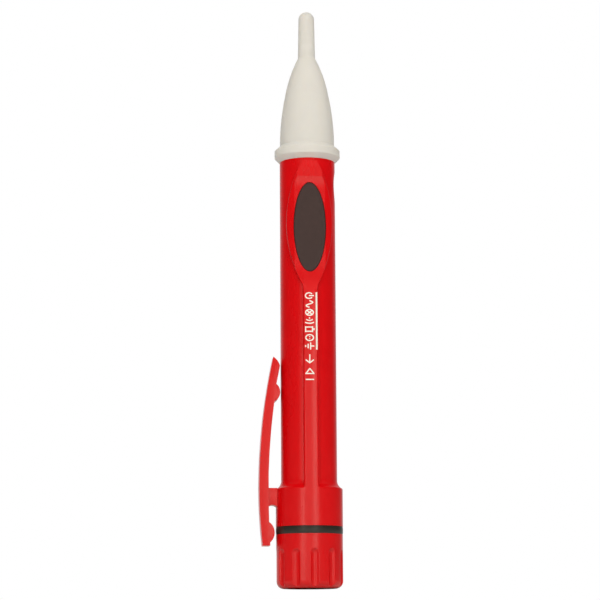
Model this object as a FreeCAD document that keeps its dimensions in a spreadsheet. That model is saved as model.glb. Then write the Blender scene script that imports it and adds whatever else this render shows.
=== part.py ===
# Non contact voltage tester: a pen-shaped tester that stands on its end cap, sensing tip up.
# Millimetres. Z runs up the pen's axis from the end cap's flat face, the push pad faces -Y and
# the pocket clip stands on the -X side.
import FreeCAD, Part
import os
import Sketcher

SIZES = [
    ("tip_top", 176.0), ("rod_radius", 2.4), ("rod_base_radius", 2.64), ("rod_base", 161.3),
    ("nose_radius", 42.0), ("nose_mid_radius", 6.67), ("nose_mid", 149.1), ("nose_base", 133.6),
    ("nose_base_radius", 8.25), ("shoulder_radius", 72.0),
    ("flange_radius", 9.92), ("flange_upper", 132.1), ("flange_lower", 130.0), ("flange_bevel", 1.5),
    ("flange_round", 0.4),
    ("skirt_radius", 6.35), ("skirt_bottom", 124.6), ("tip_bore", 5.3), ("tip_bore_top", 147.5),
    ("rod_bore", 1.3), ("rod_bore_base", 160.0), ("rod_bore_top", 172.5),
    ("tip_ring_centre", 6.1), ("tip_ring_wire", 0.33), ("tip_ring_level", 126.6),
    ("barrel_radius", 8.36), ("barrel_top", 128.5), ("bore_radius", 6.45),
    ("collar_radius", 9.97), ("collar_top", 29.42), ("collar_bottom", 18.2),
    ("collar_sweep", 2.6), ("collar_sweep_top", 32.07),
    ("neck_radius", 7.2), ("neck_bottom", 4.0), ("neck_bevel", 0.4),
    ("thread_pitch", 2.0), ("thread_height", 6.0), ("thread_start", 6.8), ("thread_depth", 0.6),
    ("thread_root", 0.9), ("thread_crest", 0.5), ("thread_gap", 0.25), ("thread_bite", 0.15),
    ("seal_radius", 10.01), ("seal_bottom", 15.92), ("seal_crown", 6.0),
    ("seal_crown_rise", 0.14), ("fit_gap", 0.05),
    ("land_half", 2.2), ("boss_low", 89.5), ("boss_high", 127.6), ("boss_half", 6.9),
    ("facet_depth", 8.84), ("facet_low", 95.5), ("facet_high", 119.2),
    ("brow_depth", 9.27), ("brow_level", 122.6), ("bevel_low", 87.2), ("brow_top", 128.3),
    ("dish_curve", 31.3), ("brow_curve", 13.1),
    ("pad_half_width", 4.76), ("pad_half_length", 13.5), ("pad_level", 107.2), ("pad_gap", 0.12),
    ("pad_face", 9.1), ("pad_back", 5.95), ("pad_flange", 0.6), ("pad_lip", 0.85),
    ("pad_lip_rise", 0.2), ("pad_lip_room", 0.35), ("pad_ceiling", 6.7), ("pad_stem", 1.5),
    ("pad_stem_bite", 0.2), ("pad_round", 0.3), ("land_round", 0.6),
    ("notch_top", 125.7), ("notch_level", 121.4), ("notch_depth", 0.58), ("notch_fade", 115.7),
    ("notch_upper_curve", 18.0), ("notch_lower_curve", 30.0),
    ("cap_radius", 9.9), ("cap_top", 15.9), ("cap_round", 2.2), ("cap_floor", 1.6),
    ("flute_count", 11.0), ("flute_radius", 1.45), ("flute_depth", 0.72), ("flute_top", 11.7),
    ("flute_phase", 12.7), ("flute_round", 0.25),
    ("disc_radius", 6.9), ("disc_bottom", 1.65), ("disc_thickness", 0.4),
    ("spring_radius", 3.4), ("spring_wire", 0.3), ("spring_pitch", 0.95),
    ("cell_bottom", 6.2), ("cell_length", 44.5), ("cell_radius", 5.25), ("cell_wrap", 0.12),
    ("cell_nub", 1.9), ("cell_nub_height", 1.1), ("cell_base_radius", 4.3), ("cell_base", 0.3),
    ("cell_ring_bore", 2.2), ("cell_ring", 4.2), ("cell_ring_height", 0.3), ("can_wall", 0.25),
    ("can_edge", 0.4), ("nub_edge", 0.3), ("wrap_inset", 0.5),
    ("carrier_radius", 6.3), ("carrier_bore", 5.42), ("carrier_bottom", 7.4),
    ("carrier_flat", 4.5), ("carrier_flat_bottom", 92.9),
    ("wall_bottom", 95.6), ("wall_top", 97.3), ("rail_top", 123.8), ("rail_half", 4.9),
    ("rail_inner", 4.0), ("rail_outer", 5.6), ("rail_front", 0.8), ("rail_back", 2.8), ("slot_room", 0.05),
    ("strip_width", 3.0), ("strip_thickness", 0.25), ("strip_face", 5.85), ("strip_bottom", 2.12),
    ("strip_foot", 98.4),
    ("board_half", 4.8), ("board_front", 0.6), ("board_back", 1.6), ("board_bottom", 97.4),
    ("board_top", 130.0), ("board_corner", 1.2), ("antenna_radius", 0.6), ("antenna_bottom", 125.5),
    ("antenna_top", 171.5),
    ("lamp_radius", 1.5), ("lamp_rim", 1.75), ("lamp_rim_height", 0.7), ("lamp_bottom", 132.0),
    ("lamp_top", 136.6), ("lamp_spread", 2.7), ("lead_size", 0.4), ("lead_pitch", 1.27),
    ("lead_bottom", 127.8),
    ("switch_half", 3.0), ("switch_face", 2.9), ("plunger_radius", 1.6), ("plunger_gap", 0.12),
    ("plunger_face", 4.0), ("plunger_back", 2.55), ("plunger_well", 1.95), ("cover", 0.25),
    ("cover_room", 0.15),
    ("buzzer_radius", 3.8), ("buzzer_height", 2.6), ("buzzer_level", 111.0), ("buzzer_port", 0.8),
    ("buzzer_port_depth", 0.6), ("buzzer_edge", 0.3),
    ("chip_width", 3.8), ("chip_length", 4.9), ("chip_height", 1.4), ("chip_level", 119.5),
    ("chip_stand", 0.1), ("chip_pin_pitch", 1.27), ("chip_pin_width", 0.42), ("chip_pin_reach", 1.0),
    ("chip_pin_thickness", 0.2),
    ("small_length", 1.6), ("small_width", 0.8), ("small_height", 0.5),
    ("transistor_length", 2.9), ("transistor_width", 1.3), ("transistor_height", 0.95),
    ("transistor_level", 125.2), ("transistor_offset", 2.9),
    ("tab_width", 2.0), ("tab_top", 100.4), ("contact_radius", 3.6), ("contact_thickness", 0.3),
    ("contact_room", 0.1),
    ("clip_top", 68.7), ("clip_beak", 10.72), ("clip_mid", 13.84), ("clip_mid_level", 50.0),
    ("clip_out", 15.02), ("clip_out_level", 30.0), ("clip_tail", 14.07), ("clip_bottom", 12.6),
    ("clip_upper_curve", 196.0), ("clip_lower_curve", 160.0), ("clip_thickness", 2.25),
    ("clip_half_width", 3.4), ("clip_inner", 12.24), ("clip_inner_level", 34.0),
    ("clip_inner_curve", 210.0), ("clip_neck", 10.47), ("clip_neck_level", 55.3),
    ("bump_high", 60.5), ("bump_upper", 9.85), ("bump_curve", 3.1),
    ("lip_level", 66.0), ("lip", 8.74), ("lip_curve", 5.0), ("heel_high", 19.5), ("heel_low", 13.5),
    ("heel_face", 11.87), ("heel_curve", 3.78),
    ("arm_top", 29.6), ("arm_bottom", 24.2), ("arm_half_width", 2.6), ("arm_gap", 0.03),
    ("arm_reach", 12.75), ("arm_arch", 1.75),
]


class Size:
    """A length in millimetres together with the spreadsheet expression that gives it."""

    def __init__(self, value, text):
        self.value = float(value)
        self.text = text

    def __add__(self, other):
        return joined(self, "+", other)

    def __radd__(self, other):
        return joined(other, "+", self)

    def __sub__(self, other):
        return joined(self, "-", other)

    def __rsub__(self, other):
        return joined(other, "-", self)

    def __mul__(self, other):
        return joined(self, "*", other)

    def __rmul__(self, other):
        return joined(other, "*", self)

    def __truediv__(self, other):
        return joined(self, "/", other)

    def __neg__(self):
        return Size(-self.value, "-({})".format(self.text))


def as_size(number):
    """A plain number as a Size, so that both can stand in one sum."""
    if isinstance(number, Size):
        return number
    return Size(number, repr(float(number)))


def joined(left, sign, right):
    """The Size that a sum, difference, product or quotient of two Sizes gives."""
    left = as_size(left)
    right = as_size(right)
    results = {
        "+": left.value + right.value,
        "-": left.value - right.value,
        "*": left.value * right.value,
    }
    value = results[sign] if sign in results else left.value / right.value
    return Size(value, "({} {} {})".format(left.text, sign, right.text))


class SizeTable:
    """The driving dimensions: one spreadsheet row each, read here by their names."""

    def __init__(self, doc):
        sheet = doc.addObject("Spreadsheet::Sheet", "Sizes")
        for row, (name, value) in enumerate(SIZES, start=1):
            sheet.set("A{}".format(row), name)
            sheet.set("B{}".format(row), str(value))
            sheet.setAlias("B{}".format(row), name)
            setattr(self, name, Size(value, "Sizes." + name))


doc = FreeCAD.newDocument("VoltageTester")
S = SizeTable(doc)
doc.recompute()


def bind(thing, path, size):
    """Drive one property of an object by the spreadsheet."""
    thing.setExpression(path, as_size(size).text)


def new_body(label):
    """An empty PartDesign body, modelled in the tester's own frame."""
    body = doc.addObject("PartDesign::Body", label)
    body.Label = label
    body.Placement = FreeCAD.Placement()
    return body


def origin_feature(body, role):
    """One of the body's own origin planes or axes."""
    return [item for item in body.Origin.OriginFeatures if item.Role == role][0]


def new_sketch(body, name, plane, shift=None):
    """A sketch on an origin plane; shift moves it as (across, up, out of the plane)."""
    sketch = body.newObject("Sketcher::SketchObject", name)
    sketch.AttachmentSupport = [(origin_feature(body, plane), "")]
    sketch.MapMode = "FlatFace"
    for letter, size in zip("xyz", shift or (0, 0, 0)):
        bind(sketch, "AttachmentOffset.Base." + letter, size)
    return sketch


def constrain(sketch, name, kind, size, *where):
    """Add one driving constraint and bind it to the spreadsheet."""
    size = as_size(size)
    index = sketch.addConstraint(Sketcher.Constraint(kind, *where, size.value))
    sketch.renameConstraint(index, name)
    bind(sketch, "Constraints." + name, size)


def arc_between(start, end, radius):
    """The shorter arc from start to end; a positive radius turns left on the way."""
    chord = end - start
    side = FreeCAD.Vector(chord.y, -chord.x, 0).normalize()
    if radius < 0:
        side = -side
    half = chord.Length / 2
    rise = abs(radius) - (radius * radius - half * half) ** 0.5
    return Part.Arc(start, (start + end) / 2 + side * rise, end).toShape().Curve


def outline(sketch, corners, tag=""):
    """A closed outline. A corner is (across, up), or (across, up, radius) where an arc leaves it."""
    points = [FreeCAD.Vector(as_size(c[0]).value, as_size(c[1]).value, 0) for c in corners]
    count = len(corners)
    first = sketch.GeometryCount
    ends = []
    for index, corner in enumerate(corners):
        start = points[index]
        end = points[(index + 1) % count]
        if len(corner) == 2:
            sketch.addGeometry(Part.LineSegment(start, end))
            ends.append((1, 2))
            continue
        radius = as_size(corner[2])
        circle = arc_between(start, end, radius.value)
        left = radius.value > 0
        low, high = (start, end) if left else (end, start)
        centre = circle.Center
        begin = FreeCAD.Vector(1, 0, 0).getAngle(low - centre)
        finish = FreeCAD.Vector(1, 0, 0).getAngle(high - centre)
        begin = begin if (low - centre).y >= 0 else -begin
        finish = finish if (high - centre).y >= 0 else -finish
        round_edge = Part.Circle(centre, FreeCAD.Vector(0, 0, 1), abs(radius.value))
        sketch.addGeometry(Part.ArcOfCircle(round_edge, begin, finish))
        ends.append((1, 2) if left else (2, 1))
        size = radius if left else -radius
        constrain(sketch, "{}bend{}".format(tag, index), "Radius", size, first + index)
    for index, corner in enumerate(corners):
        here = first + index
        before = first + (index - 1) % count
        meet = Sketcher.Constraint("Coincident", before, ends[index - 1][1], here, ends[index][0])
        sketch.addConstraint(meet)
        constrain(sketch, "{}across{}".format(tag, index), "DistanceX", corner[0],
                  here, ends[index][0])
        constrain(sketch, "{}up{}".format(tag, index), "DistanceY", corner[1],
                  here, ends[index][0])


def rectangle(sketch, left, bottom, right, top, tag=""):
    """A closed rectangle between two corners."""
    outline(sketch, [(left, bottom), (right, bottom), (right, top), (left, top)], tag)


def circle(sketch, across, up, radius, tag=""):
    """A full circle."""
    centre = FreeCAD.Vector(as_size(across).value, as_size(up).value, 0)
    index = sketch.addGeometry(Part.Circle(centre, FreeCAD.Vector(0, 0, 1), as_size(radius).value))
    constrain(sketch, tag + "round", "Radius", radius, index)
    constrain(sketch, tag + "across", "DistanceX", across, index, 3)
    constrain(sketch, tag + "up", "DistanceY", up, index, 3)


def upright_ellipse(sketch, up, half_width, half_height):
    """An ellipse centred on the sketch's vertical axis, taller than it is wide."""
    middle = up.value
    major = FreeCAD.Vector(0, middle + half_height.value, 0)
    minor = FreeCAD.Vector(-half_width.value, middle, 0)
    index = sketch.addGeometry(Part.Ellipse(major, minor, FreeCAD.Vector(0, middle, 0)))
    sketch.exposeInternalGeometry(index)
    sketch.addConstraint(Sketcher.Constraint("Vertical", index + 1))
    constrain(sketch, "height", "Distance", half_height * 2, index + 1)
    constrain(sketch, "width", "Distance", half_width * 2, index + 2)
    constrain(sketch, "centre_across", "DistanceX", 0, index, 3)
    constrain(sketch, "centre_up", "DistanceY", up, index, 3)


def turned(body, kind, name, sketch):
    """Revolution or Groove of a sketch, all the way round its vertical axis."""
    feature = body.newObject("PartDesign::" + kind, name)
    feature.Profile = sketch
    feature.ReferenceAxis = (sketch, ["V_Axis"])
    feature.Angle = 360
    return feature


def pulled(body, kind, name, sketch, length, way="out"):
    """Pad or Pocket of a sketch: out of its plane, back from it, or both ways equally."""
    feature = body.newObject("PartDesign::" + kind, name)
    feature.Profile = sketch
    bind(feature, "Length", length)
    feature.Midplane = way == "both"
    feature.Reversed = way == ("back" if kind == "Pad" else "out")
    return feature


def rounded(body, name, base, edges, radius, kind="Fillet"):
    """Fillet or Chamfer of the chosen edges of a feature."""
    feature = body.newObject("PartDesign::" + kind, name)
    feature.Base = (base, edges)
    bind(feature, "Radius" if kind == "Fillet" else "Size", radius)
    return feature


def edges_where(feature, test):
    """Names of the edges whose middle passes the test, which reads it and its axis distance."""
    doc.recompute()
    names = []
    for index, edge in enumerate(feature.Shape.Edges, start=1):
        middle = edge.valueAt((edge.FirstParameter + edge.LastParameter) / 2)
        if test(middle, (middle.x ** 2 + middle.y ** 2) ** 0.5):
            names.append("Edge{}".format(index))
    return names


def thread_ridge(body, name, inner, inner_width, outer, outer_width, start):
    """A right-hand helical ridge round the axis, trapezoidal in section."""
    sketch = new_sketch(body, name + "_section", "XZ_Plane")
    outline(sketch, [
        (inner, start - inner_width / 2), (outer, start - outer_width / 2),
        (outer, start + outer_width / 2), (inner, start + inner_width / 2),
    ])
    ridge = body.newObject("PartDesign::AdditiveHelix", name)
    ridge.Profile = sketch
    ridge.ReferenceAxis = (sketch, ["V_Axis"])
    ridge.Mode = 0
    bind(ridge, "Pitch", S.thread_pitch)
    bind(ridge, "Height", S.thread_height)
    ridge.Angle = 0
    ridge.LeftHanded = False
    return ridge


def block(label, low, high):
    """A plain box between two corners."""
    box = doc.addObject("Part::Box", label)
    box.Label = label
    for path, start, end in zip(("Length", "Width", "Height"), low, high):
        bind(box, path, end - start)
    for letter, start in zip("xyz", low):
        bind(box, "Placement.Base." + letter, start)
    return box


def compound(label, pieces):
    """Several separate solids of one kind as one sub-part."""
    group = doc.addObject("Part::Compound", label)
    group.Label = label
    group.Links = pieces
    return group


def fused(label, pieces):
    """Touching primitives as one solid."""
    fuse = doc.addObject("Part::MultiFuse", label)
    fuse.Label = label
    fuse.Shapes = pieces
    return fuse


def make_sensor_tip():
    """The pale moulded nose: sensing rod, ogive, flange and the skirt that enters the barrel."""
    body = new_body("sensor_tip")
    sketch = new_sketch(body, "tip_profile", "XZ_Plane")
    outline(sketch, [
        (0, S.tip_top, -S.rod_radius),
        (S.rod_radius, S.tip_top - S.rod_radius), (S.rod_base_radius, S.rod_base, -S.nose_radius),
        (S.nose_mid_radius, S.nose_mid, -S.shoulder_radius),
        (S.nose_base_radius, S.nose_base), (S.flange_radius, S.flange_upper),
        (S.flange_radius, S.flange_lower), (S.flange_radius - S.flange_bevel, S.barrel_top),
        (S.skirt_radius, S.barrel_top), (S.skirt_radius, S.skirt_bottom),
        (S.tip_bore, S.skirt_bottom), (S.tip_bore, S.tip_bore_top),
        (S.rod_bore, S.rod_bore_base), (S.rod_bore, S.rod_bore_top), (0, S.rod_bore_top),
    ])
    shell = turned(body, "Revolution", "tip_shell", sketch)
    rims = edges_where(shell, lambda middle, away: middle.z < S.nose_base.value - 0.1
                       and away > S.nose_base_radius.value)
    rounded(body, "flange_rims", shell, rims, S.flange_round)
    groove = new_sketch(body, "ring_groove_profile", "XZ_Plane")
    room = S.tip_ring_wire * 1.15
    rectangle(groove, S.tip_ring_centre - S.tip_ring_wire - 0.01, S.tip_ring_level - room,
              S.skirt_radius + 1, S.tip_ring_level + room)
    turned(body, "Groove", "ring_groove", groove)
    return body


def make_tip_ring():
    """The seal ring in the skirt's groove."""
    ring = doc.addObject("Part::Torus", "tip_seal_ring")
    ring.Label = "tip_seal_ring"
    bind(ring, "Radius1", S.tip_ring_centre)
    bind(ring, "Radius2", S.tip_ring_wire)
    bind(ring, "Placement.Base.z", S.tip_ring_level)
    return ring


def make_barrel():
    """The red housing: barrel, collar, front land with its almond boss, and the threaded neck."""
    body = new_body("barrel")
    profile = new_sketch(body, "barrel_profile", "XZ_Plane")
    outline(profile, [
        (0, S.neck_bottom), (S.neck_radius - S.neck_bevel, S.neck_bottom),
        (S.neck_radius, S.neck_bottom + S.neck_bevel), (S.neck_radius, S.collar_bottom),
        (S.collar_radius, S.collar_bottom), (S.collar_radius, S.collar_top, -S.collar_sweep),
        (S.barrel_radius, S.collar_sweep_top), (S.barrel_radius, S.barrel_top),
        (0, S.barrel_top),
    ])
    turned(body, "Revolution", "barrel_stock", profile)
    thread_ridge(body, "neck_thread", S.neck_radius - S.thread_bite, S.thread_root,
                 S.neck_radius + S.thread_depth, S.thread_crest, S.thread_start)

    front = new_sketch(body, "land_outline", "XZ_Plane")
    side = (S.boss_high - S.boss_low) / 2
    rise = S.boss_half - S.land_half
    curve = (side * side + rise * rise) / (rise * 2)
    outline(front, [
        (-S.land_half, S.collar_bottom + 1), (S.land_half, S.collar_bottom + 1),
        (S.land_half, S.boss_low, curve), (S.land_half, S.boss_high),
        (-S.land_half, S.boss_high, curve), (-S.land_half, S.boss_low),
    ])
    pulled(body, "Pad", "land_and_boss", front, S.collar_radius + 1)

    trim = new_sketch(body, "trim_profile", "XZ_Plane")
    rectangle(trim, S.collar_radius, S.collar_bottom - 2, S.collar_radius + 6, S.barrel_top + 2)
    stock = turned(body, "Groove", "front_trim", trim)
    radius = S.collar_radius.value
    rims = edges_where(stock, lambda middle, away: middle.y < 0 and abs(away - radius) < 0.02
                       and S.collar_top.value < middle.z < S.boss_high.value
                       and S.land_half.value - 0.2 < abs(middle.x))
    rounded(body, "land_rims", stock, rims, S.land_round)

    dip = new_sketch(body, "facet_profile", "YZ_Plane")
    outline(dip, [
        (-S.collar_radius, S.bevel_low, S.dish_curve), (-S.facet_depth, S.facet_low),
        (-S.facet_depth, S.facet_high, S.brow_curve), (-S.brow_depth, S.brow_level),
        (-S.barrel_radius, S.brow_top), (-S.collar_radius - 2, S.brow_top),
        (-S.collar_radius - 2, S.bevel_low),
    ])
    pulled(body, "Pocket", "pad_facet", dip, S.barrel_radius * 2, "both")

    notch = new_sketch(body, "notch_profile", "XZ_Plane")
    deep = S.barrel_radius - S.notch_depth
    outline(notch, [
        (S.barrel_radius, S.notch_fade, -S.notch_lower_curve),
        (deep, S.notch_level, -S.notch_upper_curve), (S.barrel_radius, S.notch_top),
        (S.barrel_radius + 2, S.notch_top), (S.barrel_radius + 2, S.notch_fade),
    ])
    pulled(body, "Pocket", "thumb_notch", notch, S.barrel_radius * 2, "both")

    bore = new_sketch(body, "bore_profile", "XZ_Plane")
    rectangle(bore, 0, S.neck_bottom - 1, S.bore_radius, S.barrel_top + 1)
    turned(body, "Groove", "bore", bore)

    window = new_sketch(body, "window_outline", "XZ_Plane")
    upright_ellipse(window, S.pad_level, S.pad_half_width + S.pad_gap,
                    S.pad_half_length + S.pad_gap)
    pulled(body, "Pocket", "pad_window", window, S.collar_radius + 1, "out")

    room = new_sketch(body, "lip_room_outline", "XZ_Plane")
    upright_ellipse(room, S.pad_level, S.pad_half_width + S.pad_lip + S.pad_lip_room,
                    S.pad_half_length + S.pad_lip_rise + S.pad_lip_room)
    pulled(body, "Pocket", "lip_room", room, S.pad_ceiling, "out")
    return body


def make_neck_seal():
    """The black seal ring between collar and end cap, with a slightly crowned rim."""
    body = new_body("neck_seal_ring")
    sketch = new_sketch(body, "seal_profile", "XZ_Plane")
    edge = S.seal_radius - S.seal_crown_rise
    outline(sketch, [
        (S.neck_radius + S.fit_gap, S.seal_bottom), (edge, S.seal_bottom, S.seal_crown),
        (edge, S.collar_bottom), (S.neck_radius + S.fit_gap, S.collar_bottom),
    ])
    turned(body, "Revolution", "seal", sketch)
    return body


def make_end_cap():
    """The fluted screw cap with its inside thread."""
    body = new_body("end_cap")
    turn = FreeCAD.Rotation(FreeCAD.Vector(0, 0, 1), S.flute_phase.value)
    body.Placement = FreeCAD.Placement(FreeCAD.Vector(), turn)
    bore = S.neck_radius + S.thread_depth + S.thread_gap
    profile = new_sketch(body, "cap_profile", "XZ_Plane")
    outline(profile, [
        (0, 0), (S.cap_radius - S.cap_round, 0, S.cap_round), (S.cap_radius, S.cap_round),
        (S.cap_radius, S.cap_top), (bore, S.cap_top), (bore, S.cap_floor), (0, S.cap_floor),
    ])
    turned(body, "Revolution", "cap_shell", profile)
    thread_ridge(body, "cap_thread", bore - S.thread_depth, S.thread_crest,
                 bore + S.thread_bite, S.thread_root, S.thread_start + S.thread_pitch / 2)
    flute = new_sketch(body, "flute_profile", "XZ_Plane",
                       (S.cap_radius + S.flute_radius - S.flute_depth, 0, 0))
    centre = S.flute_top - S.flute_radius
    outline(flute, [
        (0, -1), (S.flute_radius, -1), (S.flute_radius, centre, S.flute_radius),
        (0, S.flute_top),
    ])
    groove = turned(body, "Groove", "flute", flute)
    ring = body.newObject("PartDesign::PolarPattern", "flutes")
    ring.Originals = [groove]
    ring.Axis = (origin_feature(body, "Z_Axis"), [""])
    ring.Angle = 360
    bind(ring, "Occurrences", S.flute_count)
    body.Tip = ring
    radius = S.cap_radius.value
    rims = edges_where(ring, lambda middle, away: abs(away - radius) < 0.02
                       and S.cap_round.value + 0.1 < middle.z < S.flute_top.value + 0.1)
    rounded(body, "flute_rims", ring, rims, S.flute_round)
    return body


def make_contact_disc():
    """The spring's seat in the cap's floor."""
    body = new_body("contact_disc")
    sketch = new_sketch(body, "disc_outline", "XY_Plane", (0, 0, S.disc_bottom))
    circle(sketch, 0, 0, S.disc_radius)
    pulled(body, "Pad", "disc", sketch, S.disc_thickness)
    return body


def make_battery_spring():
    """The compression spring between the contact disc and the rear cell."""
    seat = S.disc_bottom + S.disc_thickness
    helix = doc.addObject("Part::Helix", "spring_path")
    bind(helix, "Radius", S.spring_radius)
    bind(helix, "Pitch", S.spring_pitch)
    bind(helix, "Height", S.cell_bottom - seat - S.spring_wire * 2.1)
    bind(helix, "Placement.Base.z", seat + S.spring_wire * 1.05)
    wire = doc.addObject("Part::Circle", "spring_wire_section")
    bind(wire, "Radius", S.spring_wire)
    across = FreeCAD.Rotation(FreeCAD.Vector(1, 0, 0), 90)
    wire.Placement = FreeCAD.Placement(FreeCAD.Vector(S.spring_radius.value, 0, 0), across)
    bind(wire, "Placement.Base.x", S.spring_radius)
    bind(wire, "Placement.Base.z", seat + S.spring_wire * 1.05)
    spring = doc.addObject("Part::Sweep", "battery_spring")
    spring.Label = "battery_spring"
    spring.Sections = [wire]
    spring.Spine = (helix, [])
    spring.Solid = True
    spring.Frenet = True
    return spring


def make_cell(name, bottom):
    """One AAA cell: can with its positive nub, filling, printed wrap, end plate and gasket."""
    shoulder = bottom + S.cell_length - S.cell_nub_height
    can_radius = S.cell_radius - S.cell_wrap
    inside = can_radius - S.can_wall
    foot = bottom + S.cell_base
    can = new_body(name + "_cell_can")
    profile = new_sketch(can, "can_profile", "XZ_Plane")
    outline(profile, [
        (inside, foot), (can_radius, foot), (can_radius, shoulder - S.can_edge),
        (can_radius - S.can_edge, shoulder), (S.cell_nub, shoulder),
        (S.cell_nub, bottom + S.cell_length - S.nub_edge),
        (S.cell_nub - S.nub_edge, bottom + S.cell_length), (0, bottom + S.cell_length),
        (0, shoulder - S.can_edge), (inside, shoulder - S.can_edge),
    ])
    turned(can, "Revolution", "can", profile)
    filling = new_body(name + "_cell_filling")
    profile = new_sketch(filling, "filling_profile", "XZ_Plane")
    rectangle(profile, 0, foot, inside, shoulder - S.can_edge)
    turned(filling, "Revolution", "filling", profile)
    wrap = new_body(name + "_cell_wrap")
    profile = new_sketch(wrap, "wrap_profile", "XZ_Plane")
    rectangle(profile, can_radius, foot + S.wrap_inset, S.cell_radius, shoulder - S.wrap_inset)
    turned(wrap, "Revolution", "wrap", profile)
    base = new_body(name + "_cell_base")
    plate = new_sketch(base, "base_outline", "XY_Plane", (0, 0, bottom))
    circle(plate, 0, 0, S.cell_base_radius)
    pulled(base, "Pad", "base_plate", plate, S.cell_base)
    gasket = new_body(name + "_cell_gasket")
    profile = new_sketch(gasket, "gasket_profile", "XZ_Plane")
    rectangle(profile, S.cell_ring_bore, shoulder, S.cell_ring, shoulder + S.cell_ring_height)
    turned(gasket, "Revolution", "gasket", profile)
    return [can, filling, wrap, base, gasket]


def make_carrier():
    """The inner carrier: the cells' sleeve, the wall above them and the board's two rails."""
    body = new_body("inner_carrier")
    sleeve = new_sketch(body, "sleeve_profile", "XZ_Plane")
    outline(sleeve, [
        (S.carrier_bore, S.carrier_bottom), (S.carrier_radius, S.carrier_bottom),
        (S.carrier_radius, S.wall_top), (0, S.wall_top), (0, S.wall_bottom),
        (S.carrier_bore, S.wall_bottom),
    ])
    turned(body, "Revolution", "sleeve", sleeve)
    rails = new_sketch(body, "rail_sections", "XY_Plane", (0, 0, S.wall_bottom))
    for tag, sign in (("left", -1), ("right", 1)):
        near = min(S.rail_outer * sign, S.rail_inner * sign, key=lambda size: size.value)
        far = max(S.rail_outer * sign, S.rail_inner * sign, key=lambda size: size.value)
        rectangle(rails, near, -S.rail_front, far, S.rail_back, tag)
    pulled(body, "Pad", "rails", rails, S.rail_top - S.wall_bottom)
    slot = new_sketch(body, "board_slot_section", "XY_Plane", (0, 0, S.wall_top))
    rectangle(slot, -S.rail_half, S.board_front - S.slot_room, S.rail_half,
              S.board_back + S.slot_room)
    pulled(body, "Pocket", "board_slot", slot, S.rail_top, "out")
    channel = new_sketch(body, "strip_channel_section", "XY_Plane", (0, 0, S.carrier_bottom - 1))
    half = S.strip_width / 2 + S.contact_room
    rectangle(channel, -half, S.strip_face - S.fit_gap, half, S.carrier_radius + 1)
    pulled(body, "Pocket", "strip_channel", channel, S.rail_top, "out")
    flat = new_sketch(body, "pad_room_section", "XY_Plane", (0, 0, S.carrier_flat_bottom))
    rectangle(flat, -S.carrier_radius, -S.carrier_radius - 1, S.carrier_radius, -S.carrier_flat)
    pulled(body, "Pocket", "pad_room", flat, S.rail_top, "out")
    opening = new_sketch(body, "tab_opening_section", "XY_Plane", (0, 0, S.wall_bottom - 1))
    half = S.tab_width / 2 + S.contact_room
    rectangle(opening, -half, S.board_front - S.contact_thickness - S.contact_room, half,
              S.board_front + S.contact_room)
    pulled(body, "Pocket", "tab_opening", opening, S.rail_top, "out")
    return body


def make_contact_strip():
    """The long return contact from the cap's disc up to the board."""
    half = S.strip_width / 2
    back = S.strip_face + S.strip_thickness
    top = S.strip_foot + S.strip_thickness
    leg = block("strip_leg", (-half, S.strip_face, S.strip_bottom), (half, back, top))
    foot = block("strip_foot", (-half, S.board_back, S.strip_foot), (half, S.strip_face, top))
    return fused("contact_strip", [leg, foot])


def make_front_contact():
    """The plate that the front cell's nub touches, with its tab to the board."""
    top = S.cell_bottom + S.cell_length * 2
    body = new_body("front_contact")
    plate = new_sketch(body, "plate_outline", "XY_Plane", (0, 0, top))
    circle(plate, 0, 0, S.contact_radius)
    pulled(body, "Pad", "plate", plate, S.contact_thickness)
    tab = new_sketch(body, "tab_section", "XY_Plane", (0, 0, top))
    half = S.tab_width / 2
    rectangle(tab, -half, S.board_front - S.contact_thickness, half, S.board_front)
    pulled(body, "Pad", "tab", tab, S.tab_top - top)
    return body


def make_board():
    """The circuit board, upright behind the push pad."""
    body = new_body("circuit_board")
    sketch = new_sketch(body, "board_outline", "XZ_Plane", (0, 0, -S.board_back))
    shoulder = S.board_top - S.board_corner
    outline(sketch, [
        (-S.board_half, S.board_bottom), (S.board_half, S.board_bottom),
        (S.board_half, shoulder), (S.board_half - S.board_corner, S.board_top),
        (S.board_corner - S.board_half, S.board_top), (-S.board_half, shoulder),
    ])
    pulled(body, "Pad", "board", sketch, S.board_back - S.board_front)
    return body


def make_antenna():
    """The sensing wire from the board up into the tip's rod."""
    body = new_body("antenna")
    sketch = new_sketch(body, "antenna_profile", "XZ_Plane")
    outline(sketch, [
        (0, S.antenna_bottom), (S.antenna_radius, S.antenna_bottom),
        (S.antenna_radius, S.antenna_top - S.antenna_radius, S.antenna_radius),
        (0, S.antenna_top),
    ])
    turned(body, "Revolution", "antenna_rod", sketch)
    return body


def make_lamp(label, across):
    """A small round LED at the board's top end."""
    body = new_body(label)
    middle = (S.board_front + S.board_back) / 2
    profile = new_sketch(body, "lamp_profile", "XZ_Plane", (across, 0, -middle))
    outline(profile, [
        (0, S.lamp_bottom), (S.lamp_rim, S.lamp_bottom),
        (S.lamp_rim, S.lamp_bottom + S.lamp_rim_height),
        (S.lamp_radius, S.lamp_bottom + S.lamp_rim_height),
        (S.lamp_radius, S.lamp_top - S.lamp_radius, S.lamp_radius), (0, S.lamp_top),
    ])
    turned(body, "Revolution", "lamp", profile)
    return body


def make_lamp_leads():
    """The four leads of the two LEDs, on the board's front face."""
    leads = []
    for side in (-1, 1):
        for foot in (-1, 1):
            across = S.lamp_spread * side + S.lead_pitch / 2 * foot
            low = (across - S.lead_size / 2, S.board_front - S.lead_size, S.lead_bottom)
            high = (across + S.lead_size / 2, S.board_front, S.lamp_bottom)
            leads.append(block("lead_{}".format(len(leads) + 1), low, high))
    return compound("lamp_leads", leads)


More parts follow.
